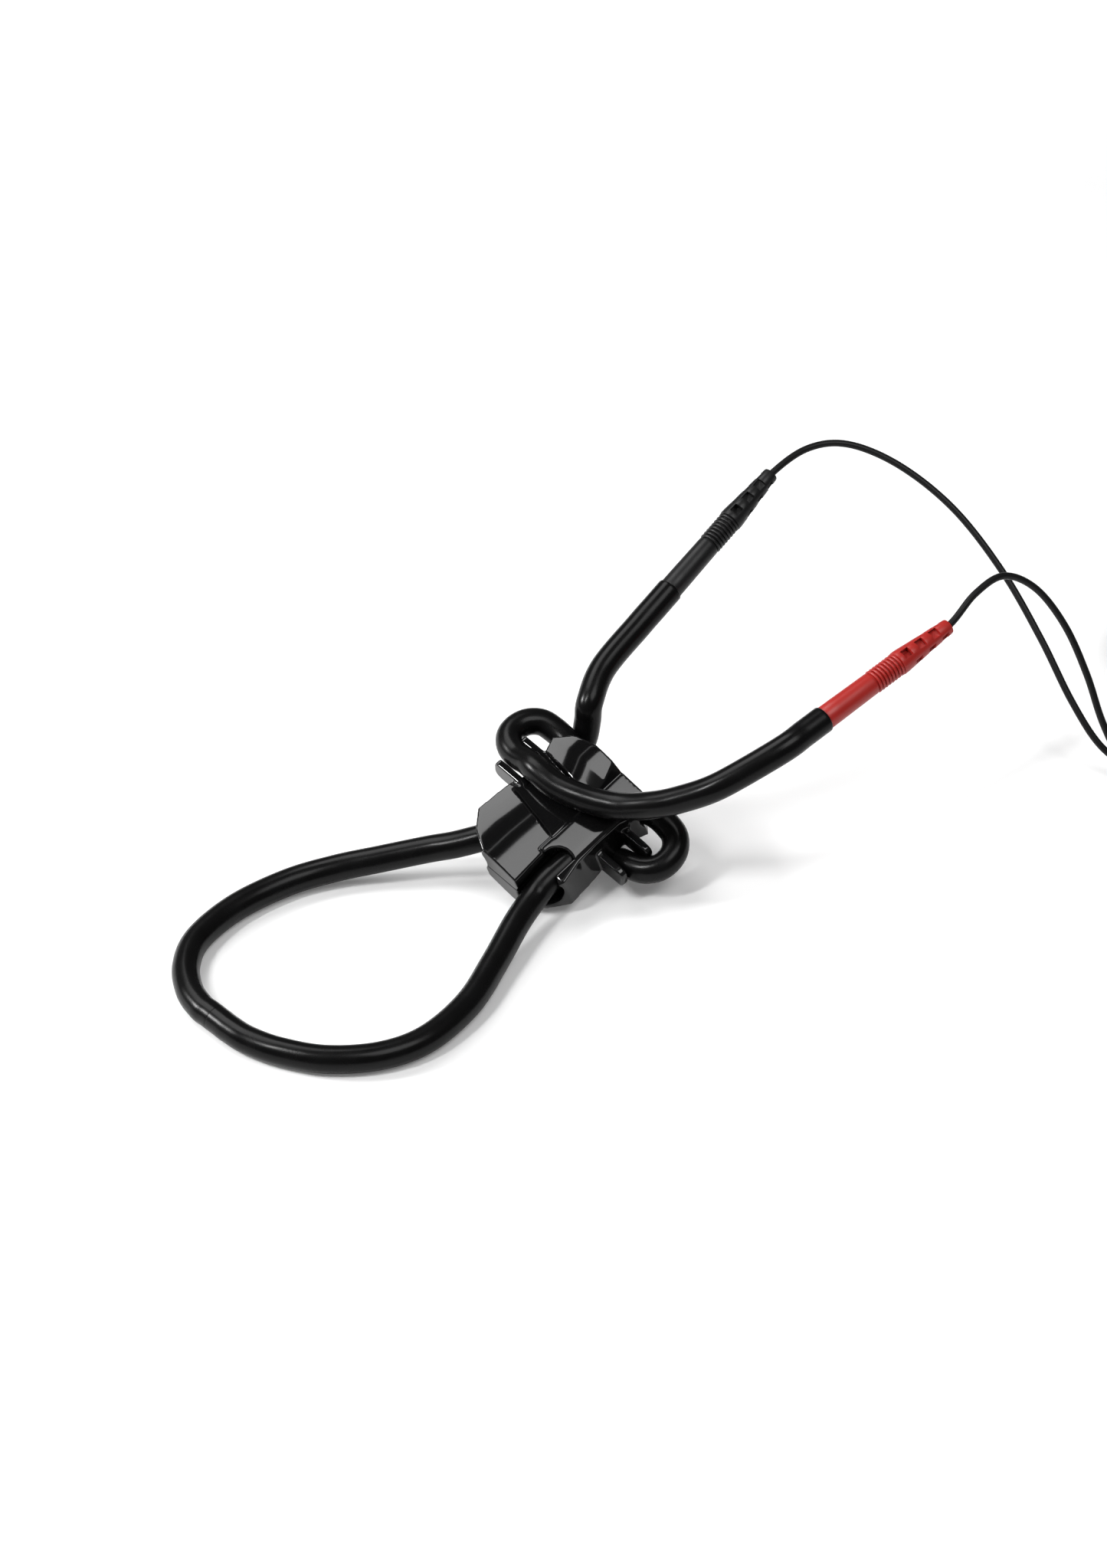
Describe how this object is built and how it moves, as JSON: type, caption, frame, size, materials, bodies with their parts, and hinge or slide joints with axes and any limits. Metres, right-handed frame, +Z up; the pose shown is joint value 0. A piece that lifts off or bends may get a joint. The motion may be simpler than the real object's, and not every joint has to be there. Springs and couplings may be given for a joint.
{
  "type": "adjustable rubber electrode loop",
  "caption": "Loop of thick black conductive rubber tube drawn through a glossy moulded slider, its tails on a red and a black pin plug, with a thin forked lead wound up beside it.",
  "frame": {"origin": "on the floor under the middle of the loop, slider and plugs, without the lead", "axes": "+X from the loop's tip towards the two plugs, +Z up"},
  "size_m": [0.29, 0.1216, 0.0588],
  "materials": {
    "slider_plastic": "high gloss black injection moulding",
    "conductive_rubber": "smooth carbon-filled rubber, soft sheen",
    "joiner_plastic": "plain insulating plastic",
    "red_plug_plastic": "soft-touch red moulding",
    "black_plug_plastic": "soft-touch black moulding",
    "contact_metal": "nickel plate",
    "crimp_brass": "tinned brass",
    "lead_jacket": "flexible black cable jacket",
    "jack_plastic": "black moulding",
    "tie_plastic": "flat black tie",
    "insulator_plastic": "black insulating ring"
  },
  "bodies": {
    "slider_and_lead": {"slider_upper_half": "slider_plastic", "slider_lower_half": "slider_plastic", "red_tail_tube": "conductive_rubber", "black_tail_tube": "conductive_rubber", "red_lead_wire": "lead_jacket", "black_lead_wire": "lead_jacket", "lead_splitter": "jack_plastic", "main_lead_wire": "lead_jacket", "main_lead_coil": "lead_jacket", "coil_ties": "tie_plastic", "jack_lead_wire": "lead_jacket", "jack_strain_relief": "jack_plastic", "jack_moulding": "jack_plastic", "jack_sleeve": "contact_metal", "jack_insulator": "insulator_plastic", "jack_tip": "contact_metal"},
    "rubber_loop": {"red_loop_tube": "conductive_rubber", "black_loop_tube": "conductive_rubber", "loop_joiner": "joiner_plastic"},
    "red_plug": {"red_plug_moulding": "red_plug_plastic", "red_plug_pin": "contact_metal", "red_plug_crimp": "crimp_brass"},
    "black_plug": {"black_plug_moulding": "black_plug_plastic", "black_plug_pin": "contact_metal", "black_plug_crimp": "crimp_brass"}
  },
  "joints": [
    {"name": "loop_slide", "type": "slide", "parent": "slider_and_lead", "child": "rubber_loop", "axis": [-0.9588, 0, -0.284], "range_m": [0, 0.01]},
    {"name": "red_plug_pull", "type": "slide", "parent": "slider_and_lead", "child": "red_plug", "axis": [0.9792, -0.0685, 0.1908], "range_m": [0, 0.012], "deforming": ["red_lead_wire"]},
    {"name": "black_plug_pull", "type": "slide", "parent": "slider_and_lead", "child": "black_plug", "axis": [0.9338, 0.0735, 0.3502], "range_m": [0, 0.012], "deforming": ["black_lead_wire"]}
  ]
}
